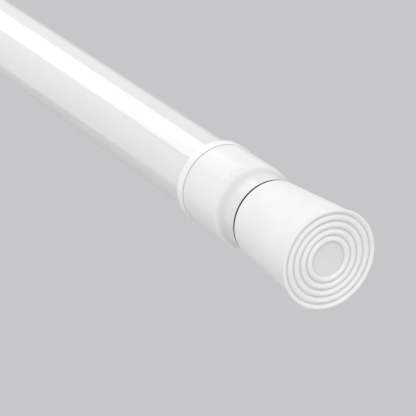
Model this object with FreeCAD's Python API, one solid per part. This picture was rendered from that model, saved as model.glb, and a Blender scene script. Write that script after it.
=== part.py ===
import FreeCAD
import Part
import math
import os

# Spring tension rod: two telescoping tubes with a rubber foot on each end, a twist lock and a spring inside.
# Millimetres. The rod lies along X. The origin is the centre of the outer foot's face, which looks to +X,
# and the rod runs to -X. Places along the rod are given as s, the distance behind that face, so x = -s.

# Tubes
OUTER_TUBE_OD = 25.0
OUTER_TUBE_WALL = 0.6
OUTER_TUBE_LENGTH = 370.0
TUBE_GAP = 0.9                # radial space between the outer tube's bore and the inner tube
INNER_TUBE_WALL = 0.6
INNER_TUBE_LENGTH = 285.0
DRAWN_OUT = 60.0              # how far the rod is drawn out from its shortest length

# Clearances
FIT = 0.05                    # radial, between pieces that are pushed together
RUNNING = 0.1                 # between pieces that slide or turn on each other
BORE_PLAY = 0.3               # radial, between the lock and the outer tube's bore
CLOSING_GAP = 3.0             # from the spindle's tip to the outer collar's plug on the closed rod

# Foot: a cone that is widest just behind its ridged face
FOOT_LENGTH = 33.6
FOOT_FLARE = 2.95             # face end of the cone over the tube's radius
FOOT_BACK = 0.36              # back end of the cone over the tube's radius
FOOT_BACK_EDGE = 0.4          # chamfer of the back edge
RIM_PROUD = 0.3               # rim of the face over the cone
RIM_EDGE = 0.25               # chamfer of the rim
RIM_DEPTH = 1.6               # from the face to where the cone starts
RIM_WIDTH = 1.6
RIDGE_COUNT = 4
RIDGE_PITCH = 2.22
RIDGE_HEIGHT = 0.7
RIDGE_LAND = 0.7              # flat top of a ridge
DISC_RECESS = 0.9             # centre disc under the ridges

# End collar
COLLAR_GAP = 0.6              # open joint between foot and collar
COLLAR_LENGTH = 33.3
COLLAR_WALL = 1.45            # body over the tube's radius
NOSE_FRONT = 0.22             # nose at its front edge, over the tube's radius
NOSE_EDGE = 0.12              # chamfer of the front edge
NOSE_WAIST = -0.12            # narrowest part of the nose, over the tube's radius
NOSE_WAIST_AT = 5.0
SHOULDER_FOOT = -0.06         # start of the shoulder, over the tube's radius
SHOULDER_FOOT_AT = 8.0
SHOULDER_DROP = 0.12          # end of the steep part of the shoulder, under the body
SHOULDER_STEEP_END = 9.8
SHOULDER_END = 12.1
LIP_WIDTH = 3.6
LIP_PROUD = 0.25              # lip over the body
LIP_EDGE = 0.3                # chamfer of the lip's edges
LIP_GROOVE = 0.45             # width and depth of the groove in front of the lip
TUBE_SEAT = 10.8              # tube's end behind the collar's front edge
PLUG_DEPTH = 12.0             # collar's plug inside the tube
PLUG_WALL = 2.4
SPIGOT_LENGTH = 25.7          # in front of the collar's front edge, inside the foot
SPIGOT_WALL = 2.6
SPIGOT_UNDER = 3.0            # spigot under the tube's radius
SPIGOT_TIP = 2.6              # closed end of the spigot
WEB = 5.0                     # between the plug's hollow and the collar's front edge

# Guide ring in the mouth of the outer tube
RING_SLEEVE = 25.0
RING_FLANGE = 2.6
RING_PROUD = 0.45             # flange over the outer tube
RING_EDGE = 0.4               # chamfer of the flange

# Twist lock
THREAD_D = 6.0
THREAD_PITCH = 1.0
LOCK_TURNS = 2
COLLET_LENGTH = 30.0
FINGER_WALL = 1.6             # collet's fingers at their front end
TAPER_DEPTH = 22.0
TAPER_DEG = 9.0               # half angle of the collet's and the cone's taper
SLOT_COUNT = 4
SLOT_WIDTH = 2.2
SLOT_DEPTH = 20.0
SLOT_END_D = 3.2
DRAG_GROOVE_WIDTH = 3.0
DRAG_GROOVE_DEPTH = 1.6
DRAG_GROOVE_AT = 2.0          # from the collet's back
CONE_LENGTH = 20.0
CONE_STAND_OUT = 1.0          # locked cone in front of the collet
KEY_PLAY = 0.2                # each side of a key in its slot
KEY_UNDER = 0.8               # key under the collet's outside
NUT_FLATS = 10.0
NUT_THICK = 5.0
END_NUT_THICK = 3.2
SPINDLE_END = 1.0             # thread in front of the end nut
SPINDLE_POINT = 0.6           # chamfer on the thread's end
END_NUT_GAP = 0.3

# Spring, its seat and the spindle's back end
SPRING_LENGTH = 80.0          # as it sits in the rod at rest
SPRING_MEAN_D = 17.0
SPRING_WIRE = 1.8
SPRING_COILS = 10
SPRING_RUNS = 12              # straight runs that a coil of the wire is made of
WASHER_THICK = 1.2
WASHER_OVER = 5.0             # thrust washer over the thread's radius
SEAT_FLANGE = 3.0
SEAT_OVER = 0.4               # flange over the spring's outside
PILOT_LENGTH = 5.0
PILOT_PLAY = 0.25             # radial, between spring and pilot
HEX_FLATS = 6.0
PIN_D = 2.0
PIN_UNDER = 0.3               # pin's ends under the pilot's surface
NECK_D = 5.0
CLIP_THICK = 1.0
CLIP_GROOVE_D = 3.6
CLIP_OD = 10.0
CLIP_MOUTH = 3.0
NECK_END = 1.2                # behind the clip
REAR_WASHER_OD = 15.0

# Plug in the inserted end of the inner tube
PLUG_FLANGE = 4.0
PLUG_BODY = 18.0
PLUG_HUB_WALL = 2.6
PLUG_SKIN = 1.8
PLUG_WEB_COUNT = 4
PLUG_WEB_WIDTH = 1.6

# Radii that follow from the tubes
OUTER_R = OUTER_TUBE_OD / 2
OUTER_BORE = OUTER_R - OUTER_TUBE_WALL
INNER_R = OUTER_BORE - TUBE_GAP
INNER_BORE = INNER_R - INNER_TUBE_WALL
COLLET_R = OUTER_BORE - BORE_PLAY
TAPER_FRONT_R = COLLET_R - FINGER_WALL
TAPER = math.tan(math.radians(TAPER_DEG))
THREAD_R = THREAD_D / 2
SPRING_INNER = (SPRING_MEAN_D - SPRING_WIRE) / 2
SPRING_OUTER = (SPRING_MEAN_D + SPRING_WIRE) / 2
PILOT_R = SPRING_INNER - PILOT_PLAY

# Places along the rod
COLLAR_FRONT = FOOT_LENGTH + COLLAR_GAP
FOOT_SEAT = COLLAR_FRONT - SPIGOT_LENGTH    # bottom of the foot's bore
TUBE_END = COLLAR_FRONT + TUBE_SEAT
MOUTH = TUBE_END + OUTER_TUBE_LENGTH
LOCK_TRAVEL = THREAD_PITCH * LOCK_TURNS
SPINDLE_TIP = TUBE_END + PLUG_DEPTH + CLOSING_GAP + DRAWN_OUT
END_NUT = SPINDLE_TIP + SPINDLE_END
CONE_FRONT = END_NUT + END_NUT_THICK + END_NUT_GAP
COLLET_FRONT = CONE_FRONT + CONE_STAND_OUT + LOCK_TRAVEL
COLLET_BACK = COLLET_FRONT + COLLET_LENGTH
WASHER_FRONT = COLLET_BACK + RUNNING
SEAT_FRONT = WASHER_FRONT + WASHER_THICK
SPRING_FRONT = SEAT_FRONT + SEAT_FLANGE
PLUG_FRONT = SPRING_FRONT + SPRING_LENGTH
INNER_TUBE_FRONT = PLUG_FRONT + PLUG_FLANGE
PLUG_BACK = INNER_TUBE_FRONT + PLUG_BODY
HEX_BACK = PLUG_BACK + FIT
CLIP_FRONT = HEX_BACK + WASHER_THICK
SPINDLE_BACK = CLIP_FRONT + CLIP_THICK + NECK_END
ROD_LENGTH = INNER_TUBE_FRONT + INNER_TUBE_LENGTH + TUBE_END

ORIGIN = FreeCAD.Vector(0, 0, 0)
ALONG = FreeCAD.Vector(1, 0, 0)
SIDE = FreeCAD.Vector(0, 1, 0)
UP = FreeCAD.Vector(0, 0, 1)
HEX_SIDES = 6
ROOM = 1.0                    # how far a cutting tool stands out of what it cuts


def at(s, r):
    return FreeCAD.Vector(-s, r, 0)


def turned(*corners):
    """A solid of revolution about the rod's axis from a closed outline of (s, r) corners."""
    points = [at(*corner) for corner in corners]
    outline = Part.makePolygon(points + points[:1])
    return Part.Face(outline).revolve(ORIGIN, ALONG, 360)


def sleeve(front, back, outer, inner):
    return turned((front, inner), (back, inner), (back, outer), (front, outer))


def rod(front, back, radius):
    return turned((front, 0), (back, 0), (back, radius), (front, radius))


def hex_corner(flats):
    """Corner radius of a hexagon that measures so much across its flats."""
    return flats / 2 / math.cos(math.pi / HEX_SIDES)


def hex_outline(centre, side, up, corner):
    """Closed hexagon round a point, in the plane of two directions."""
    angles = [2 * math.pi * number / HEX_SIDES for number in range(HEX_SIDES + 1)]
    return Part.makePolygon([centre + (side * math.sin(a) + up * math.cos(a)) * corner for a in angles])


def hexagon(flats, front, back):
    outline = hex_outline(at(front, 0), SIDE, UP, hex_corner(flats))
    return Part.Face(outline).extrude(ALONG * (front - back))


def spokes(count, width, front, back, outer):
    """Flat blades from the axis outwards, evenly spaced round it."""
    blade = Part.makeBox(back - front, width, outer, FreeCAD.Vector(-back, -width / 2, 0))
    return [blade.rotated(ORIGIN, ALONG, 360 * number / count) for number in range(count)]


def spoke_holes(count, diameter, s, outer):
    """Round holes from the axis outwards, on the middles of the spokes."""
    hole = Part.makeCylinder(diameter / 2, outer, at(s, 0), UP)
    return [hole.rotated(ORIGIN, ALONG, 360 * number / count) for number in range(count)]


def far_end(shape):
    """Turn a piece of the outer end round to the far end of the rod."""
    return shape.rotated(ORIGIN, UP, 180).translated(at(ROD_LENGTH, 0))


def foot(tube_r):
    face = tube_r + FOOT_FLARE
    back = tube_r + FOOT_BACK
    rim = face + RIM_PROUD
    cone_at_rim = face + (back - face) * RIM_DEPTH / FOOT_LENGTH
    ridges_r = rim - RIM_WIDTH
    disc = ridges_r - RIDGE_COUNT * RIDGE_PITCH
    bore = tube_r - SPIGOT_UNDER + FIT
    ridges = []
    for number in range(RIDGE_COUNT):
        inside = disc + number * RIDGE_PITCH
        middle = inside + RIDGE_PITCH / 2
        ridges += [(RIDGE_HEIGHT, inside), (0, middle - RIDGE_LAND / 2), (0, middle + RIDGE_LAND / 2)]
    return turned(
        (DISC_RECESS, 0),
        (DISC_RECESS, disc),
        *ridges,
        (RIDGE_HEIGHT, ridges_r),
        (0, ridges_r + (RIDGE_PITCH - RIDGE_LAND) / 2),
        (0, rim - RIM_EDGE),
        (RIM_EDGE, rim),
        (RIM_DEPTH, cone_at_rim),
        (FOOT_LENGTH - FOOT_BACK_EDGE, back),
        (FOOT_LENGTH, back - FOOT_BACK_EDGE),
        (FOOT_LENGTH, bore),
        (FOOT_SEAT, bore),
        (FOOT_SEAT, 0),
    )


def end_collar(tube_r, bore_r):
    front = COLLAR_FRONT
    back = front + COLLAR_LENGTH
    body = tube_r + COLLAR_WALL
    lip = body + LIP_PROUD
    lip_front = back - LIP_WIDTH
    spigot = tube_r - SPIGOT_UNDER
    plug = bore_r - FIT
    plug_end = TUBE_END + PLUG_DEPTH
    return turned(
        (FOOT_SEAT, 0),
        (FOOT_SEAT, spigot),
        (front, spigot),
        (front, tube_r + NOSE_FRONT - NOSE_EDGE),
        (front + NOSE_EDGE, tube_r + NOSE_FRONT),
        (front + NOSE_WAIST_AT, tube_r + NOSE_WAIST),
        (front + SHOULDER_FOOT_AT, tube_r + SHOULDER_FOOT),
        (front + SHOULDER_STEEP_END, body - SHOULDER_DROP),
        (front + SHOULDER_END, body),
        (lip_front - LIP_GROOVE, body),
        (lip_front, body - LIP_GROOVE),
        (lip_front, lip - LIP_EDGE),
        (lip_front + LIP_EDGE, lip),
        (back - LIP_EDGE, lip),
        (back, lip - LIP_EDGE),
        (back, tube_r + FIT),
        (TUBE_END, tube_r + FIT),
        (TUBE_END, plug),
        (plug_end, plug),
        (plug_end, plug - PLUG_WALL),
        (front + WEB, plug - PLUG_WALL),
        (front + WEB, spigot - SPIGOT_WALL),
        (FOOT_SEAT + SPIGOT_TIP, spigot - SPIGOT_WALL),
        (FOOT_SEAT + SPIGOT_TIP, 0),
    )


def outer_tube():
    return sleeve(TUBE_END, MOUTH, OUTER_R, OUTER_BORE)


def mouth_ring():
    flange = OUTER_R + RING_PROUD
    bore = INNER_R + RUNNING
    return turned(
        (MOUTH - RING_SLEEVE, bore),
        (MOUTH - RING_SLEEVE, OUTER_BORE - FIT),
        (MOUTH, OUTER_BORE - FIT),
        (MOUTH, flange),
        (MOUTH + RING_FLANGE - RING_EDGE, flange),
        (MOUTH + RING_FLANGE, flange - RING_EDGE),
        (MOUTH + RING_FLANGE, bore),
    )


def inner_tube():
    return sleeve(INNER_TUBE_FRONT, INNER_TUBE_FRONT + INNER_TUBE_LENGTH, INNER_R, INNER_BORE)


def spring_plug():
    """Flanged plug, cored out behind and stiffened by webs, that slides on the spindle's hexagon."""
    body = INNER_BORE - FIT
    hub = hex_corner(HEX_FLATS) + PLUG_HUB_WALL
    skin = body - PLUG_SKIN
    blank = turned(
        (PLUG_FRONT - PILOT_LENGTH, 0),
        (PLUG_FRONT - PILOT_LENGTH, PILOT_R),
        (PLUG_FRONT, PILOT_R),
        (PLUG_FRONT, COLLET_R),
        (INNER_TUBE_FRONT, COLLET_R),
        (INNER_TUBE_FRONT, body),
        (PLUG_BACK, body),
        (PLUG_BACK, 0),
    )
    core = sleeve(INNER_TUBE_FRONT, PLUG_BACK + ROOM, skin, hub)
    core = core.cut(spokes(PLUG_WEB_COUNT, PLUG_WEB_WIDTH, INNER_TUBE_FRONT, PLUG_BACK, body))
    bore = hexagon(HEX_FLATS + 2 * RUNNING, PLUG_FRONT - PILOT_LENGTH - ROOM, PLUG_BACK + ROOM)
    return blank.cut([core, bore])


def expander_collet():
    """Sleeve with a tapered mouth, slots that free its fingers and a groove for the drag ring."""
    drag_end = COLLET_BACK - DRAG_GROOVE_AT
    drag_start = drag_end - DRAG_GROOVE_WIDTH
    hole = THREAD_R + RUNNING
    taper_end = COLLET_FRONT + TAPER_DEPTH
    blank = turned(
        (COLLET_FRONT, TAPER_FRONT_R),
        (COLLET_FRONT, COLLET_R),
        (drag_start, COLLET_R),
        (drag_start, COLLET_R - DRAG_GROOVE_DEPTH),
        (drag_end, COLLET_R - DRAG_GROOVE_DEPTH),
        (drag_end, COLLET_R),
        (COLLET_BACK, COLLET_R),
        (COLLET_BACK, hole),
        (taper_end, hole),
        (taper_end, TAPER_FRONT_R - TAPER_DEPTH * TAPER),
    )
    reach = COLLET_R + ROOM
    slot_end = COLLET_FRONT + SLOT_DEPTH
    slots = spokes(SLOT_COUNT, SLOT_WIDTH, COLLET_FRONT - ROOM, slot_end, reach)
    return blank.cut(slots + spoke_holes(SLOT_COUNT, SLOT_END_D, slot_end, reach))


def drag_ring():
    """Rubber ring that rubs in the outer tube's bore."""
    back = COLLET_BACK - DRAG_GROOVE_AT - FIT
    front = back - DRAG_GROOVE_WIDTH + 2 * FIT
    return sleeve(front, back, OUTER_BORE - FIT, COLLET_R - DRAG_GROOVE_DEPTH + FIT)


def cone_wedge():
    """Cone with a key for each slot of the collet and a pocket for its nut."""
    front_r = TAPER_FRONT_R - FIT + CONE_STAND_OUT * TAPER
    back = CONE_FRONT + CONE_LENGTH
    back_r = front_r - CONE_LENGTH * TAPER
    cone = turned((CONE_FRONT, 0), (CONE_FRONT, front_r), (back, back_r), (back, 0))
    key_end = COLLET_FRONT + SLOT_DEPTH - SLOT_END_D / 2 - LOCK_TRAVEL
    keys = spokes(SLOT_COUNT, SLOT_WIDTH - 2 * KEY_PLAY, CONE_FRONT, min(key_end, back), COLLET_R - KEY_UNDER)
    pocket = hexagon(NUT_FLATS + 2 * FIT, CONE_FRONT - ROOM, CONE_FRONT + NUT_THICK)
    hole = rod(CONE_FRONT - ROOM, back + ROOM, THREAD_R + RUNNING)
    return cone.fuse(keys).cut([pocket, hole]).removeSplitter()


def hex_nut(front, thickness):
    nut = hexagon(NUT_FLATS, front, front + thickness)
    return nut.cut(rod(front - ROOM, front + thickness + ROOM, THREAD_R + FIT))


def lock_spindle():
    """Thread in front, a hexagon that slides in the plug, and a grooved neck behind for washer and clip."""
    thread = turned(
        (SPINDLE_TIP, 0),
        (SPINDLE_TIP, THREAD_R - SPINDLE_POINT),
        (SPINDLE_TIP + SPINDLE_POINT, THREAD_R),
        (SEAT_FRONT, THREAD_R),
        (SEAT_FRONT, 0),
    )
    neck_r = NECK_D / 2
    groove_r = CLIP_GROOVE_D / 2
    neck = turned(
        (HEX_BACK, 0),
        (HEX_BACK, neck_r),
        (CLIP_FRONT, neck_r),
        (CLIP_FRONT, groove_r),
        (CLIP_FRONT + CLIP_THICK, groove_r),
        (CLIP_FRONT + CLIP_THICK, neck_r),
        (SPINDLE_BACK, neck_r),
        (SPINDLE_BACK, 0),
    )
    body = thread.fuse([hexagon(HEX_FLATS, SEAT_FRONT, HEX_BACK), neck])
    return body.cut(seat_pin())


def thrust_washer():
    return sleeve(WASHER_FRONT, SEAT_FRONT, THREAD_R + WASHER_OVER, THREAD_R + FIT)


def spring_seat():
    back = SPRING_FRONT + PILOT_LENGTH
    blank = turned(
        (SEAT_FRONT, 0),
        (SEAT_FRONT, SPRING_OUTER + SEAT_OVER),
        (SPRING_FRONT, SPRING_OUTER + SEAT_OVER),
        (SPRING_FRONT, PILOT_R),
        (back, PILOT_R),
        (back, 0),
    )
    bore = hexagon(HEX_FLATS + 2 * FIT, SEAT_FRONT - ROOM, back + ROOM)
    return blank.cut([bore, seat_pin()])


def seat_pin():
    """Cross pin through the seat's pilot and the spindle."""
    half = math.sqrt(PILOT_R ** 2 - (PIN_D / 2) ** 2) - PIN_UNDER
    foot_of_pin = FreeCAD.Vector(-(SPRING_FRONT + PILOT_LENGTH / 2), 0, -half)
    return Part.makeCylinder(PIN_D / 2, 2 * half, foot_of_pin, UP)


def compression_spring():
    """Coiled wire with its ends ground flat against the seat and the plug."""
    run_count = SPRING_COILS * SPRING_RUNS
    turn = 2 * math.pi / SPRING_RUNS
    mean_r = SPRING_MEAN_D / 2
    path = []
    for number in range(run_count + 1):
        s = SPRING_FRONT + SPRING_LENGTH * number / run_count
        path.append(FreeCAD.Vector(-s, mean_r * math.cos(turn * number), mean_r * math.sin(turn * number)))
    first_run = (path[1] - path[0]).normalize()
    section = hex_outline(path[0], first_run.cross(SIDE), SIDE, SPRING_WIRE / 2)
    wire = Part.makePolygon(path).makePipeShell([section], True, False, 1)
    return wire.common(rod(SPRING_FRONT, PLUG_FRONT, SPRING_OUTER + ROOM))


def rear_washer():
    return sleeve(HEX_BACK, CLIP_FRONT, REAR_WASHER_OD / 2, NECK_D / 2 + FIT)


def rear_clip():
    """Open ring that snaps into the groove of the spindle's neck."""
    ring = sleeve(CLIP_FRONT, CLIP_FRONT + CLIP_THICK, CLIP_OD / 2, CLIP_GROOVE_D / 2 + FIT)
    mouth = spokes(1, CLIP_MOUTH, CLIP_FRONT - ROOM, CLIP_FRONT + CLIP_THICK + ROOM, CLIP_OD)
    return ring.cut(mouth)


pieces = {
    "outer_foot": foot(OUTER_R),
    "outer_collar": end_collar(OUTER_R, OUTER_BORE),
    "outer_tube": outer_tube(),
    "mouth_ring": mouth_ring(),
    "expander_collet": expander_collet(),
    "drag_ring": drag_ring(),
    "cone_wedge": cone_wedge(),
    "cone_nut": hex_nut(CONE_FRONT, NUT_THICK),
    "lock_spindle": lock_spindle(),
    "spindle_end_nut": hex_nut(END_NUT, END_NUT_THICK),
    "thrust_washer": thrust_washer(),
    "spring_seat": spring_seat(),
    "seat_pin": seat_pin(),
    "compression_spring": compression_spring(),
    "rear_washer": rear_washer(),
    "rear_clip": rear_clip(),
    "spring_plug": spring_plug(),
    "inner_tube": inner_tube(),
    "inner_collar": far_end(end_collar(INNER_R, INNER_BORE)),
    "inner_foot": far_end(foot(INNER_R)),
}

os.makedirs("parts", exist_ok=True)
for name, shape in pieces.items():
    shape.exportStep("parts/" + name + ".step")
print("rod length", round(ROD_LENGTH, 2), "mm")
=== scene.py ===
import math

import bmesh
import bpy
from mathutils import Matrix, Vector


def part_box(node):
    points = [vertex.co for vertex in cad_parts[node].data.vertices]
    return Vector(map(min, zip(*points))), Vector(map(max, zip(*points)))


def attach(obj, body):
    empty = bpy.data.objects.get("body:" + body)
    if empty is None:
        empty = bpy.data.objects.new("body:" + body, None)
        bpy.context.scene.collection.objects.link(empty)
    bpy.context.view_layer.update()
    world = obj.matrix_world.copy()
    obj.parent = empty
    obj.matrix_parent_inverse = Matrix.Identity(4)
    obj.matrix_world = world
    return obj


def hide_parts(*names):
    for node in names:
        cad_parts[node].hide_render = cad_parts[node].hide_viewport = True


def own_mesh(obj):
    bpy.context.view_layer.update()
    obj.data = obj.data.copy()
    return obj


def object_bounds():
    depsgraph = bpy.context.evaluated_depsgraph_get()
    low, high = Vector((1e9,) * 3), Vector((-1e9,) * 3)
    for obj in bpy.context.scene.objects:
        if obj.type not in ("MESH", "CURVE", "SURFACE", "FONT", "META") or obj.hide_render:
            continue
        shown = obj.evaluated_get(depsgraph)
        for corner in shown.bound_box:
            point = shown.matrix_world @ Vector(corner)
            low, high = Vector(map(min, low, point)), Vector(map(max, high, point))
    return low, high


# Looks of the spring tension rod: white painted tubes, moulded collars and ridged rubber feet outside,
# and the twist lock and the spring inside.
# Metres. Places along the rod are given as s, the distance behind the face of the foot at that end.

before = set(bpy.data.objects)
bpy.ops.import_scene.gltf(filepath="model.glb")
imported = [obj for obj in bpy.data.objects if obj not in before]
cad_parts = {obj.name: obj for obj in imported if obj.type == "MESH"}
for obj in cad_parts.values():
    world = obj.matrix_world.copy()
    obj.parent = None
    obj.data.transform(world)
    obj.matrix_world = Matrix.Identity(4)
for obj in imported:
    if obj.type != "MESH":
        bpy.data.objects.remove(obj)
cad_low, cad_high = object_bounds()

MM = 0.001

# Turned pieces
SEGMENTS = 192                     # round the axis
ARC_STEP = math.radians(7.5)       # of a rounding, at most
LEAST_STEPS = 2                    # of a rounding
ROUND_SHARE = 0.48                 # of the shorter side, that a rounding may take up
STRAIGHT = 1e-6                    # turn under which a corner isn't rounded

# Foot
CONE_UNDER_RIM = 0.3 * MM          # cone at the face under the rim
FOOT_BACK = 0.36 * MM              # back end of the cone over the tube
FOOT_BACK_ROUND = 0.45 * MM
RIM_WIDTH = 1.6 * MM
RIM_DEPTH = 1.6 * MM
RIM_EDGE = 0.25 * MM
RIM_BACK_ROUND = 4.0 * MM
RIDGE_COUNT = 4
RIDGE_PITCH = 2.22 * MM
RIDGE_HEIGHT = 0.7 * MM
RIDGE_LAND = 0.7 * MM
DISC_RECESS = 0.9 * MM
CREST_ROUND = 1.0 * MM
GROOVE_ROUND = 0.12 * MM

# Collar
COLLAR_GAP = 0.6 * MM
NOSE_FRONT = 0.22 * MM             # over the tube
NOSE_FRONT_ROUND = 0.12 * MM
NOSE_WAIST = -0.12 * MM            # over the tube
NOSE_WAIST_AT = 5.0 * MM           # behind the collar's front, as the next places are
NOSE_WAIST_ROUND = 14.0 * MM
SHOULDER_FOOT = -0.06 * MM         # over the tube
SHOULDER_FOOT_AT = 8.0 * MM
SHOULDER_FOOT_ROUND = 2.5 * MM
SHOULDER_DROP = 0.12 * MM          # under the body
SHOULDER_STEEP_END = 9.8 * MM
SHOULDER_STEEP_ROUND = 1.5 * MM
SHOULDER_END = 12.1 * MM
SHOULDER_END_ROUND = 8.0 * MM
LIP_WIDTH = 3.6 * MM
LIP_PROUD = 0.25 * MM
LIP_GROOVE = 0.45 * MM
LIP_GROOVE_ROUND = 0.3 * MM
LIP_FRONT_ROUND = 0.4 * MM
LIP_BACK_ROUND = 0.6 * MM
PLUG_DEPTH = 12.0 * MM
PLUG_WALL = 2.4 * MM
PLUG_ROUND = 0.5 * MM
SPIGOT_WALL = 2.6 * MM
SPIGOT_UNDER = 3.0 * MM            # under the tube
SPIGOT_TIP = 2.6 * MM
SPIGOT_ROUND = 0.6 * MM
WEB = 5.0 * MM
HOLLOW_ROUND = 0.3 * MM

# Tubes, guide ring and fits
TUBE_WALL = 0.6 * MM
TUBE_EDGE = 0.15 * MM
FIT = 0.05 * MM
RUNNING = 0.1 * MM
RING_EDGE = 0.6 * MM
RING_STEP_ROUND = 0.2 * MM
RING_BORE_ROUND = 0.3 * MM
SMALL_EDGE = 0.1 * MM

# Spring and spindle
THREAD_PITCH = 1.0 * MM
THREAD_DEPTH = 0.5 * MM
THREAD_FLANK = 0.5                 # of the pitch
THREAD_END = 158.8 * MM            # behind the outer foot's face
THREAD_FADE = 0.5 * MM             # to each side of its end
SPRING_WIRE = 1.8 * MM
SPRING_COILS = 10
SPRING_STEPS = 48                  # of one coil
WIRE_SIDES = 16

# Painted shade: its colours, its shares of the surface and where it fades
SHADE_TONE = (0.26, 0.255, 0.25, 1.0)
# painted shadow of the gap between foot and collar
JOINT_SHADE_TONE = (0.05, 0.05, 0.05, 1.0)
# painted shade on the collar's body but not its lip, standing in for the light the lip's rounding
# catches
BODY_SHADE = 0.08
# painted shade on the nose and in the hollow at the foot of the shoulder
NOSE_SHADE = 0.09
VALLEY_SHADE = 0.06
# painted shade in the groove before the lip
LIP_GROOVE_SHADE = 0.4
# painted shade in the grooves of the foot's face
RIDGE_SHADE = 0.32
# painted shade on the recessed disc in the middle of the face
DISC_SHADE = 0.15
JOINT_FADE = (0.05 * MM, 0.15 * MM)              # from the joint
NOSE_FADE = (8.6 * MM, 9.6 * MM)                 # behind the collar's front
VALLEY_RISE = (3.5 * MM, 8.2 * MM)
VALLEY_FADE = (8.8 * MM, 9.7 * MM)
LIP_RISE = (1.3 * LIP_GROOVE, 0.6 * LIP_GROOVE)  # before the lip
LIP_FADE = 0.1 * LIP_GROOVE                      # into the lip
RIDGES_RISE = (0.3 * MM, 0.05 * MM)              # inside the disc's edge
RIDGES_FADE = (0.5 * MM, 0.75 * MM)              # outside the last groove
GROOVE_RISE = 0.4 * RIDGE_HEIGHT                 # behind the face
GROOVE_FADE = (0.1 * MM, 0.3 * MM)               # behind the disc
DISC_FADE = 0.2 * MM                             # inside its edge
DISC_BACK = 2 * DISC_RECESS                      # behind the face
HALF_ROD = -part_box("inner_foot")[0].x / 2

# Middle part of a noise, that a range of colour or roughness takes
NOISE_LOW = 0.3
NOISE_HIGH = 0.7

# Camera, as in the photograph
CAMERA_PLACE = Vector((0.4372, -0.2850, 0.2414))
CAMERA_HEADING = math.radians(60.79)
CAMERA_PITCH = math.radians(23.36)
CAMERA_LENS = 170.8                # mm
CAMERA_SENSOR = 36.0               # mm
CAMERA_CLIP = 0.01

# Room
WHITE = (1.0, 1.0, 1.0, 1.0)
BACKDROP = (0.565, 0.571, 0.578, 1.0)
AMBIENT = 0.78
FLOOR_DROP = 0.45                  # floor under the rod's axis
FLOOR_SIZE = 30.0
FLOOR_COLOUR = (0.515, 0.52, 0.525)
FLOOR_LIGHTER = 1.01               # lightest places, to the colour
FLOOR_CLOUDS = 2.0                 # waves for each metre
FLOOR_ROUGHNESS = 0.9
FLOOR_NEAR = (0.50, 0.20)          # half axes of the floor that takes the shadow
FLOOR_FADE = (0.5, 1.0)            # shares of the half axes


def rounded(corners):
    """Points and outward normals (s, r, normal s, normal r) along a closed outline.

    Each corner of the outline is given as (s, r, radius).
    """
    outline = []
    count = len(corners)
    for number in range(count):
        here = Vector(corners[number][:2])
        before = Vector(corners[number - 1][:2])
        after = Vector(corners[(number + 1) % count][:2])
        incoming = here - before
        outgoing = after - here
        room_left = ROUND_SHARE * min(incoming.length, outgoing.length)
        incoming.normalize()
        outgoing.normalize()
        first = Vector((-incoming.y, incoming.x))
        last = Vector((-outgoing.y, outgoing.x))
        if here.y == 0:
            flat = last if after.y > 0 else first
            outline.append((here.x, 0.0, flat.x, flat.y))
            continue
        turn = math.atan2(incoming.cross(outgoing), incoming.dot(outgoing))
        if abs(turn) < STRAIGHT:
            outline.append((here.x, here.y, first.x, first.y))
            continue
        reach = min(corners[number][2] * math.tan(abs(turn) / 2), room_left)
        radius = reach / math.tan(abs(turn) / 2)
        side = -1 if turn > 0 else 1
        centre = here - incoming * reach - first * (side * radius)
        steps = max(LEAST_STEPS, math.ceil(abs(turn) / ARC_STEP))
        for step in range(steps + 1):
            normal = Matrix.Rotation(turn * step / steps, 2) @ first
            point = centre + normal * (side * radius)
            outline.append((point.x, point.y, normal.x, normal.y))
    return outline


def new_piece(name, vertices, faces):
    mesh = bpy.data.meshes.new(name)
    mesh.from_pydata(vertices, [], faces)
    shape = bmesh.new()
    shape.from_mesh(mesh)
    bmesh.ops.recalc_face_normals(shape, faces=shape.faces)
    shape.to_mesh(mesh)
    shape.free()
    mesh.shade_smooth()
    piece = bpy.data.objects.new(name, mesh)
    bpy.context.scene.collection.objects.link(piece)
    return piece


def turned(name, corners, start, toward):
    """A turned piece, with s running along X from start towards -1 or 1."""
    vertices = []
    normals = []
    rings = []
    turns = [math.tau * number / SEGMENTS for number in range(SEGMENTS)]
    for s, r, along, out in rounded(corners):
        x = start + toward * s
        angles = turns if r > 0 else turns[:1]
        rings.append(range(len(vertices), len(vertices) + len(angles)))
        vertices += [(x, r * math.cos(a), r * math.sin(a)) for a in angles]
        normals += [(toward * along, out * math.cos(a), out * math.sin(a)) for a in angles]
    faces = []
    for ring, other in zip(rings, rings[1:] + rings[:1]):
        if len(ring) == 1 and len(other) == 1:
            continue
        for number in range(SEGMENTS):
            after = (number + 1) % SEGMENTS
            if len(ring) == 1:
                faces.append((ring[0], other[after], other[number]))
            elif len(other) == 1:
                faces.append((ring[number], ring[after], other[0]))
            else:
                faces.append((ring[number], ring[after], other[after], other[number]))
    piece = new_piece(name, vertices, faces)
    piece.data.normals_split_custom_set_from_vertices(normals)
    return piece


def stand_for(piece, node, body, material):
    """The piece takes a node's place on its body."""
    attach(piece, body)
    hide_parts(node)
    piece.data.materials.append(material)


def grey(level):
    return (level, level, level)


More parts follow.
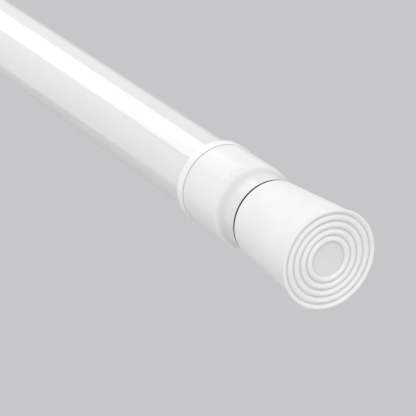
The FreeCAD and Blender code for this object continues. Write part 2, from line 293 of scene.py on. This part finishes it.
class Graph:
    """A material's node graph, with its shader."""

    def __init__(self, name):
        self.material = bpy.data.materials.new(name)
        self.material.use_nodes = True
        self.nodes = self.material.node_tree.nodes
        self.links = self.material.node_tree.links
        self.shader = self.nodes["Principled BSDF"]

    def node(self, kind, settings=None, **inputs):
        made = self.nodes.new(kind)
        for key, value in (settings or {}).items():
            setattr(made, key, value)
        for key, value in inputs.items():
            made.inputs[key.replace("_", " ")].default_value = value
        return made

    def link(self, source, target):
        self.links.new(source, target)

    def noise(self, scale, detail=3.0, stretch=(1.0, 1.0, 1.0)):
        """Noise over the piece, with scale in waves for each metre."""
        place = self.node("ShaderNodeTexCoord")
        squeeze = self.node("ShaderNodeMapping", Scale=stretch)
        noise = self.node("ShaderNodeTexNoise", Scale=scale, Detail=detail)
        self.link(place.outputs["Object"], squeeze.inputs["Vector"])
        self.link(squeeze.outputs["Vector"], noise.inputs["Vector"])
        return noise.outputs["Fac"]

    def maths(self, operation, first, second=0.0):
        made = self.node("ShaderNodeMath", {"operation": operation})
        for number, value in enumerate((first, second)):
            if isinstance(value, float):
                made.inputs[number].default_value = value
            else:
                self.link(value, made.inputs[number])
        return made.outputs["Value"]

    def ramp(self, value, start, end):
        """0 on the side of start and 1 on the side of end, with a smooth step between them."""
        made = self.node("ShaderNodeMapRange", {"interpolation_type": "SMOOTHSTEP"})
        made.inputs["From Min"].default_value = min(start, end)
        made.inputs["From Max"].default_value = max(start, end)
        made.inputs["To Min"].default_value = float(start > end)
        made.inputs["To Max"].default_value = float(start < end)
        self.link(value, made.inputs["Value"])
        return made.outputs["Result"]

    def place(self):
        """X, Y and Z on the piece, which at rest are those of the shared frame."""
        place = self.node("ShaderNodeTexCoord")
        split = self.node("ShaderNodeSeparateXYZ")
        self.link(place.outputs["Object"], split.inputs["Vector"])
        return [split.outputs[axis] for axis in "XYZ"]

    def behind(self):
        """Distance behind the face of the nearer foot."""
        x = self.place()[0]
        from_middle = self.maths("ABSOLUTE", self.maths("ADD", x, HALF_ROD))
        return self.maths("SUBTRACT", HALF_ROD, from_middle)

    def radius(self):
        """Distance from the rod's axis."""
        across = self.place()[1:]
        squares = [self.maths("POWER", self.maths("ABSOLUTE", side), 2.0) for side in across]
        return self.maths("SQRT", self.maths("ADD", *squares))

    def paint_shade(self, amount, tone=SHADE_TONE):
        """Painted shade over the colour, by an amount from 0 to 1."""
        made = self.node("ShaderNodeMix", {"data_type": "RGBA"})
        made.inputs["B"].default_value = tone
        colour = self.shader.inputs["Base Color"].links[0].from_socket
        self.link(amount, made.inputs["Factor"])
        self.link(colour, made.inputs["A"])
        self.link(made.outputs["Result"], self.shader.inputs["Base Color"])

    def tint(self, value, dark, light):
        """A colour between two, by a noise."""
        made = self.node("ShaderNodeValToRGB")
        made.color_ramp.elements[0].position = NOISE_LOW
        made.color_ramp.elements[0].color = (*dark, 1.0)
        made.color_ramp.elements[1].position = NOISE_HIGH
        made.color_ramp.elements[1].color = (*light, 1.0)
        self.link(value, made.inputs["Fac"])
        self.link(made.outputs["Color"], self.shader.inputs["Base Color"])

    def rough(self, value, low, high):
        """A roughness between two, by a noise."""
        made = self.node("ShaderNodeMapRange", To_Min=low, To_Max=high)
        made.inputs["From Min"].default_value = NOISE_LOW
        made.inputs["From Max"].default_value = NOISE_HIGH
        self.link(value, made.inputs["Value"])
        self.link(made.outputs["Result"], self.shader.inputs["Roughness"])

    def bump(self, value, height):
        made = self.node("ShaderNodeBump", Strength=1.0, Distance=height)
        self.link(value, made.inputs["Height"])
        self.link(made.outputs["Normal"], self.shader.inputs["Normal"])

    def fixed(self, **values):
        for key, value in values.items():
            self.shader.inputs[key.replace("_", " ")].default_value = value


def gloss_paint():
    """White stoved paint: a smooth coat with a faint orange peel."""
    graph = Graph("white_gloss_paint")
    graph.tint(graph.noise(scale=60), dark=grey(0.725), light=grey(0.745))
    graph.rough(graph.noise(scale=220), low=0.14, high=0.17)
    graph.bump(graph.noise(scale=420, detail=1.0), height=0.0006 * MM)
    graph.fixed(IOR=1.5)
    return graph.material


def moulded_plastic():
    """White moulded plastic: half gloss with slight flow marks, painted shade in its hollows and joints,
    and a body painted darker than its lip.
    """
    graph = Graph("white_moulded_plastic")
    graph.tint(graph.noise(scale=90), dark=grey(0.845), light=grey(0.865))
    behind = graph.behind()
    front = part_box("outer_foot")[1].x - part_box("outer_foot")[0].x + COLLAR_GAP
    lip_front = -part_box("outer_collar")[0].x - LIP_WIDTH
    # Painted shade on the body and not the lip, so that the lip looks lit on its rounding.
    body = graph.ramp(behind, lip_front, lip_front - LIP_GROOVE)
    # Painted shade on the nose and in the shoulder's hollow.
    nose = graph.ramp(behind, front + NOSE_FADE[1], front + NOSE_FADE[0])
    valley = graph.maths(
        "MULTIPLY",
        graph.ramp(behind, front + VALLEY_RISE[0], front + VALLEY_RISE[1]),
        graph.ramp(behind, front + VALLEY_FADE[1], front + VALLEY_FADE[0]),
    )
    # Painted shade in the groove before the lip.
    groove = graph.maths(
        "MULTIPLY",
        graph.ramp(behind, lip_front - LIP_RISE[0], lip_front - LIP_RISE[1]),
        graph.ramp(behind, lip_front + LIP_FADE, lip_front),
    )
    painted_shade = graph.maths(
        "ADD",
        graph.maths("MULTIPLY", body, BODY_SHADE),
        graph.maths("MULTIPLY", nose, NOSE_SHADE),
    )
    painted_shade = graph.maths("ADD", painted_shade, graph.maths("MULTIPLY", valley, VALLEY_SHADE))
    graph.paint_shade(graph.maths("MAXIMUM", painted_shade, graph.maths("MULTIPLY", groove, LIP_GROOVE_SHADE)))
    # Painted shadow of the gap between collar and foot.
    graph.paint_shade(graph.ramp(behind, front + JOINT_FADE[1], front + JOINT_FADE[0]), JOINT_SHADE_TONE)
    graph.rough(graph.noise(scale=300), low=0.20, high=0.25)
    graph.bump(graph.noise(scale=1500, detail=2.0), height=0.0006 * MM)
    graph.fixed(IOR=1.5, Specular_IOR_Level=0.18)
    return graph.material


def soft_rubber(end):
    """White rubber: satin with a fine skin, and painted shade on the face's recessed disc, in its
    grooves and in the joint.
    """
    graph = Graph("white_soft_rubber_" + end)
    graph.tint(graph.noise(scale=130), dark=grey(0.82), light=grey(0.85))
    behind = graph.behind()
    radius = graph.radius()
    low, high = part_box(end + "_foot")
    length = high.x - low.x
    ridges_r = high.z - RIM_WIDTH
    disc = ridges_r - RIDGE_COUNT * RIDGE_PITCH
    # Painted shade in the grooves between the ridges of the face.
    ringed = graph.maths(
        "MULTIPLY",
        graph.ramp(radius, disc - RIDGES_RISE[0], disc - RIDGES_RISE[1]),
        graph.ramp(radius, ridges_r + RIDGES_FADE[1], ridges_r + RIDGES_FADE[0]),
    )
    in_face = graph.maths(
        "MULTIPLY",
        graph.ramp(behind, GROOVE_RISE, RIDGE_HEIGHT),
        graph.ramp(behind, DISC_RECESS + GROOVE_FADE[1], DISC_RECESS + GROOVE_FADE[0]),
    )
    grooves = graph.maths("MULTIPLY", graph.maths("MULTIPLY", ringed, in_face), RIDGE_SHADE)
    # Painted shade on the recessed disc.
    centre = graph.maths("MULTIPLY", graph.ramp(radius, disc, disc - DISC_FADE), DISC_SHADE)
    centre = graph.maths("MULTIPLY", centre, graph.ramp(behind, DISC_BACK, DISC_RECESS))
    graph.paint_shade(graph.maths("MAXIMUM", grooves, centre))
    # Painted shadow of the gap between foot and collar.
    graph.paint_shade(graph.ramp(behind, length - JOINT_FADE[1], length - JOINT_FADE[0]), JOINT_SHADE_TONE)
    graph.rough(graph.noise(scale=500), low=0.48, high=0.56)
    graph.bump(graph.noise(scale=2600, detail=2.0), height=0.0015 * MM)
    graph.fixed(IOR=1.48, Specular_IOR_Level=0.3)
    return graph.material


def lock_plastic():
    """Off-white matt plastic of the lock's pieces."""
    graph = Graph("matt_lock_plastic")
    graph.tint(graph.noise(scale=240), dark=(0.60, 0.60, 0.57), light=(0.68, 0.68, 0.65))
    graph.rough(graph.noise(scale=700), low=0.48, high=0.62)
    graph.bump(graph.noise(scale=2200), height=0.01 * MM)
    return graph.material


def black_rubber():
    """Black rubber of the drag ring, with dust."""
    graph = Graph("black_drag_rubber")
    graph.tint(graph.noise(scale=900, detail=6.0), dark=grey(0.012), light=(0.05, 0.05, 0.048))
    graph.rough(graph.noise(scale=1200), low=0.6, high=0.8)
    graph.bump(graph.noise(scale=3000), height=0.012 * MM)
    return graph.material


def zinc_steel():
    """Bright zinc-plated steel with fine drawing marks along the rod."""
    graph = Graph("zinc_plated_steel")
    graph.tint(graph.noise(scale=500, detail=5.0), dark=(0.52, 0.53, 0.56), light=grey(0.66))
    graph.rough(graph.noise(scale=1800, stretch=(0.06, 1.0, 1.0)), low=0.22, high=0.36)
    graph.bump(graph.noise(scale=2400, stretch=(0.05, 1.0, 1.0)), height=0.004 * MM)
    graph.fixed(Metallic=1.0)
    return graph.material


def threaded_steel():
    """Zinc-plated steel of the spindle, with the thread's relief on its front part."""
    graph = Graph("zinc_plated_thread")
    graph.tint(graph.noise(scale=500, detail=5.0), dark=(0.50, 0.51, 0.54), light=grey(0.64))
    graph.rough(graph.noise(scale=1800, stretch=(0.06, 1.0, 1.0)), low=0.24, high=0.38)
    x, y, z = graph.place()
    turns = graph.maths("DIVIDE", graph.maths("ARCTAN2", z, y), math.tau)
    winding = graph.maths("ADD", graph.maths("DIVIDE", x, THREAD_PITCH), turns)
    flanks = graph.maths("PINGPONG", winding, THREAD_FLANK)
    threaded = graph.ramp(x, -THREAD_END - THREAD_FADE, -THREAD_END + THREAD_FADE)
    graph.bump(graph.maths("MULTIPLY", flanks, threaded), height=THREAD_DEPTH / THREAD_FLANK)
    graph.fixed(Metallic=1.0)
    return graph.material


def spring_steel():
    """Grey oiled spring wire."""
    graph = Graph("oiled_spring_steel")
    graph.tint(graph.noise(scale=700, detail=5.0), dark=(0.22, 0.22, 0.235), light=(0.36, 0.36, 0.37))
    graph.rough(graph.noise(scale=1300), low=0.28, high=0.42)
    graph.bump(graph.noise(scale=2800), height=0.005 * MM)
    graph.fixed(Metallic=1.0)
    return graph.material


def foot_corners(tube_r, rim, length, bore_end):
    face = rim - CONE_UNDER_RIM
    back = tube_r + FOOT_BACK
    cone_at_rim = face + (back - face) * RIM_DEPTH / length
    ridges_r = rim - RIM_WIDTH
    disc = ridges_r - RIDGE_COUNT * RIDGE_PITCH
    bore = tube_r - SPIGOT_UNDER + FIT
    flank = (RIDGE_PITCH - RIDGE_LAND) / 2
    ridges = []
    for number in range(RIDGE_COUNT):
        inside = disc + number * RIDGE_PITCH
        ridges += [
            (RIDGE_HEIGHT, inside, GROOVE_ROUND),
            (0, inside + flank, CREST_ROUND),
            (0, inside + flank + RIDGE_LAND, CREST_ROUND),
        ]
    return [
        (DISC_RECESS, 0, 0),
        (DISC_RECESS, disc, GROOVE_ROUND),
        *ridges,
        (RIDGE_HEIGHT, ridges_r, GROOVE_ROUND),
        (0, ridges_r + flank, CREST_ROUND),
        (0, rim - RIM_EDGE, CREST_ROUND),
        (RIM_EDGE, rim, CREST_ROUND),
        (RIM_DEPTH, cone_at_rim, RIM_BACK_ROUND),
        (length, back, FOOT_BACK_ROUND),
        (length, bore, SMALL_EDGE),
        (bore_end, bore, SMALL_EDGE),
        (bore_end, 0, 0),
    ]


def collar_corners(tube_r, lip, foot_length, spigot_tip, tube_end, back):
    front = foot_length + COLLAR_GAP
    body = lip - LIP_PROUD
    lip_front = back - LIP_WIDTH
    spigot = tube_r - SPIGOT_UNDER
    plug = tube_r - TUBE_WALL - FIT
    plug_end = tube_end + PLUG_DEPTH
    return [
        (spigot_tip, 0, 0),
        (spigot_tip, spigot, SPIGOT_ROUND),
        (front, spigot, SMALL_EDGE),
        (front, tube_r + NOSE_FRONT, NOSE_FRONT_ROUND),
        (front + NOSE_WAIST_AT, tube_r + NOSE_WAIST, NOSE_WAIST_ROUND),
        (front + SHOULDER_FOOT_AT, tube_r + SHOULDER_FOOT, SHOULDER_FOOT_ROUND),
        (front + SHOULDER_STEEP_END, body - SHOULDER_DROP, SHOULDER_STEEP_ROUND),
        (front + SHOULDER_END, body, SHOULDER_END_ROUND),
        (lip_front - LIP_GROOVE, body, LIP_GROOVE_ROUND),
        (lip_front, body - LIP_GROOVE, SMALL_EDGE),
        (lip_front, lip, LIP_FRONT_ROUND),
        (back, lip, LIP_BACK_ROUND),
        (back, tube_r + FIT, SMALL_EDGE),
        (tube_end, tube_r + FIT, SMALL_EDGE),
        (tube_end, plug, SMALL_EDGE),
        (plug_end, plug, PLUG_ROUND),
        (plug_end, plug - PLUG_WALL, HOLLOW_ROUND),
        (front + WEB, plug - PLUG_WALL, HOLLOW_ROUND),
        (front + WEB, spigot - SPIGOT_WALL, HOLLOW_ROUND),
        (spigot_tip + SPIGOT_TIP, spigot - SPIGOT_WALL, HOLLOW_ROUND),
        (spigot_tip + SPIGOT_TIP, 0, 0),
    ]


def sleeve_corners(front, back, outer, inner, edge):
    return [
        (front, inner, SMALL_EDGE),
        (front, outer, edge),
        (back, outer, edge),
        (back, inner, SMALL_EDGE),
    ]


def ring_corners(sleeve_end, mouth, flange_end, tube_r, flange, bore):
    sleeve_r = tube_r - TUBE_WALL - FIT
    return [
        (sleeve_end, bore, SMALL_EDGE),
        (sleeve_end, sleeve_r, SMALL_EDGE),
        (mouth, sleeve_r, SMALL_EDGE),
        (mouth, flange, RING_STEP_ROUND),
        (flange_end, flange, RING_EDGE),
        (flange_end, bore, RING_BORE_ROUND),
    ]


def rod_end(end, start, toward, body, paint, plastic):
    """Foot, collar and tube of one end, sized by the nodes they stand for."""
    boxes = {kind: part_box(end + "_" + kind) for kind in ("foot", "collar", "tube")}
    places = {kind: sorted(abs(corner.x - start) for corner in box) for kind, box in boxes.items()}
    tube_r = boxes["tube"][1].z
    foot_length = places["foot"][1]
    spigot_tip, collar_back = places["collar"]
    tube_end, tube_back = places["tube"]
    foot = turned(
        end + "_rubber_foot",
        foot_corners(tube_r, boxes["foot"][1].z, foot_length, spigot_tip),
        start, toward,
    )
    stand_for(foot, end + "_foot", body, soft_rubber(end))
    collar = turned(
        end + "_moulded_collar",
        collar_corners(tube_r, boxes["collar"][1].z, foot_length, spigot_tip, tube_end, collar_back),
        start, toward,
    )
    stand_for(collar, end + "_collar", body, plastic)
    tube = turned(
        end + "_painted_tube",
        sleeve_corners(tube_end, tube_back, tube_r, tube_r - TUBE_WALL, TUBE_EDGE),
        start, toward,
    )
    stand_for(tube, end + "_tube", body, paint)


def guide_ring(plastic):
    low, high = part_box("mouth_ring")
    tube_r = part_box("outer_tube")[1].z
    mouth = -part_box("outer_tube")[0].x
    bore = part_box("inner_tube")[1].z + RUNNING
    ring = turned(
        "mouth_guide_ring",
        ring_corners(-high.x, mouth, -low.x, tube_r, high.z, bore),
        0, -1,
    )
    stand_for(ring, "mouth_ring", "outer_rod", plastic)


def coil_spring(steel):
    """Round wire, wound at an even pitch and ground flat at both ends."""
    low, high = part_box("compression_spring")
    mean_r = high.z - SPRING_WIRE / 2
    front, back = high.x, low.x
    length = front - back
    steps = SPRING_COILS * SPRING_STEPS
    rise = math.atan2(length, math.tau * mean_r * SPRING_COILS)
    vertices = []
    for step in range(steps + 1):
        turn = math.tau * step / SPRING_STEPS
        out = Vector((0, math.cos(turn), math.sin(turn)))
        around = Vector((0, -math.sin(turn), math.cos(turn)))
        up = Vector((math.cos(rise), 0, 0)) + around * math.sin(rise)
        centre = Vector((front + (back - front) * step / steps, 0, 0)) + out * mean_r
        for side in range(WIRE_SIDES):
            angle = math.tau * side / WIRE_SIDES
            point = centre + (out * math.cos(angle) + up * math.sin(angle)) * (SPRING_WIRE / 2)
            point.x = min(max(point.x, back), front)
            vertices.append(point)
    faces = [tuple(range(WIRE_SIDES)), tuple(range(steps * WIRE_SIDES, (steps + 1) * WIRE_SIDES))]
    for step in range(steps):
        here = step * WIRE_SIDES
        there = here + WIRE_SIDES
        for side in range(WIRE_SIDES):
            after = (side + 1) % WIRE_SIDES
            faces.append((here + side, here + after, there + after, there + side))
    spring = new_piece("coiled_spring", vertices, faces)
    stand_for(spring, "compression_spring", "spindle", steel)
    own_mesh(spring)


def finish_nodes(nodes, material):
    """CAD nodes that are seen as they are get their material."""
    for name in nodes:
        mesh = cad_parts[name].data
        mesh.materials.clear()
        mesh.materials.append(material)


def area_lamp(name, place, target, width, depth, radiance):
    """A softbox that looks at a point and isn't itself in the picture."""
    lamp = bpy.data.lights.new(name, "AREA")
    lamp.shape = "RECTANGLE"
    lamp.size = width
    lamp.size_y = depth
    lamp.energy = radiance * math.pi * width * depth
    made = bpy.data.objects.new(name, lamp)
    made.location = place
    made.rotation_euler = (Vector(target) - Vector(place)).to_track_quat("-Z", "Y").to_euler()
    made.visible_camera = False
    bpy.context.scene.collection.objects.link(made)


def seen_share(nodes, links):
    """1 for what the camera sees, also in gloss and glass, and 0 for the light that falls on the rod."""
    path = nodes.new("ShaderNodeLightPath")
    seen = path.outputs["Is Camera Ray"]
    for kind in ("Is Glossy Ray", "Is Transmission Ray"):
        either = nodes.new("ShaderNodeMath")
        either.operation = "MAXIMUM"
        links.new(seen, either.inputs[0])
        links.new(path.outputs[kind], either.inputs[1])
        seen = either.outputs["Value"]
    return seen


def room():
    """Even white light from all round, and the backdrop that is seen in its place."""
    world = bpy.data.worlds.new("studio")
    bpy.context.scene.world = world
    world.use_nodes = True
    nodes, links = world.node_tree.nodes, world.node_tree.links
    light = nodes["Background"]
    light.inputs["Color"].default_value = WHITE
    light.inputs["Strength"].default_value = AMBIENT
    shown = nodes.new("ShaderNodeBackground")
    shown.inputs["Color"].default_value = BACKDROP
    choice = nodes.new("ShaderNodeMixShader")
    links.new(seen_share(nodes, links), choice.inputs["Fac"])
    links.new(light.outputs["Background"], choice.inputs[1])
    links.new(shown.outputs["Background"], choice.inputs[2])
    links.new(choice.outputs["Shader"], nodes["World Output"].inputs["Surface"])


def floor():
    """Pale floor that takes the rod's shadow near it and fades into the backdrop."""
    middle = (cad_low + cad_high) / 2
    bpy.ops.mesh.primitive_plane_add(
        size=FLOOR_SIZE, location=(middle.x, middle.y, middle.z - FLOOR_DROP),
    )
    plane = bpy.context.object
    plane.name = "floor"
    graph = Graph("pale_floor")
    lighter = [part * FLOOR_LIGHTER for part in FLOOR_COLOUR]
    graph.tint(graph.noise(scale=FLOOR_CLOUDS), dark=FLOOR_COLOUR, light=lighter)
    graph.fixed(Roughness=FLOOR_ROUGHNESS, Specular_IOR_Level=0.0)
    shown = graph.node("ShaderNodeEmission", Color=BACKDROP)
    place = graph.node("ShaderNodeTexCoord")
    squeeze = graph.node("ShaderNodeMapping", Scale=(1 / FLOOR_NEAR[0], 1 / FLOOR_NEAR[1], 1.0))
    far = graph.node("ShaderNodeVectorMath", {"operation": "LENGTH"})
    graph.link(place.outputs["Object"], squeeze.inputs["Vector"])
    graph.link(squeeze.outputs["Vector"], far.inputs[0])
    fade = graph.ramp(far.outputs["Value"], *FLOOR_FADE)
    share = graph.maths("MULTIPLY", fade, seen_share(graph.nodes, graph.links))
    choice = graph.node("ShaderNodeMixShader")
    graph.link(share, choice.inputs["Fac"])
    graph.link(graph.shader.outputs["BSDF"], choice.inputs[1])
    graph.link(shown.outputs["Emission"], choice.inputs[2])
    graph.link(choice.outputs["Shader"], graph.nodes["Material Output"].inputs["Surface"])
    plane.data.materials.append(graph.material)


def camera():
    lens = bpy.data.cameras.new("camera")
    lens.lens = CAMERA_LENS
    lens.sensor_width = CAMERA_SENSOR
    lens.clip_start = CAMERA_CLIP
    made = bpy.data.objects.new("camera", lens)
    made.location = CAMERA_PLACE
    made.rotation_euler = (math.pi / 2 - CAMERA_PITCH, 0, CAMERA_HEADING)
    bpy.context.scene.collection.objects.link(made)
    bpy.context.scene.camera = made


paint = gloss_paint()
plastic = moulded_plastic()
far_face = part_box("inner_foot")[0].x
rod_end("outer", 0.0, -1, "outer_rod", paint, plastic)
rod_end("inner", far_face, 1, "inner_rod", paint, plastic)
guide_ring(plastic)
coil_spring(spring_steel())
finish_nodes(["expander_collet", "cone_wedge", "spring_seat", "spring_plug"], lock_plastic())
finish_nodes(["drag_ring"], black_rubber())
finish_nodes(
    ["cone_nut", "spindle_end_nut", "thrust_washer", "seat_pin", "rear_washer", "rear_clip"],
    zinc_steel(),
)
finish_nodes(["lock_spindle"], threaded_steel())

room()
floor()
area_lamp(
    "overhead_softbox", place=(-1.75, -0.07, 0.9), target=(-1.75, -0.07, 0.0),
    width=1.1, depth=1.06, radiance=2.7,
)
area_lamp(
    "front_softbox", place=(1.5, -1.0, 1.1), target=(-0.1, 0.0, 0.0),
    width=1.6, depth=1.6, radiance=2.3,
)
area_lamp(
    "back_softbox", place=(0.4, 1.5, 0.8), target=(-0.2, 0.0, 0.0),
    width=1.2, depth=0.8, radiance=1.1,
)
area_lamp(
    "side_panel", place=(-1.03, -0.45, 0.035), target=(-0.14, 0.0, 0.035),
    width=1.0, depth=0.93, radiance=0.65,
)
area_lamp(
    "rear_panel", place=(-1.27, 0.65, 0.52), target=(-0.14, 0.0, 0.3),
    width=1.2, depth=1.0, radiance=0.4,
)
camera()

bpy.context.scene.view_settings.view_transform = "Standard"
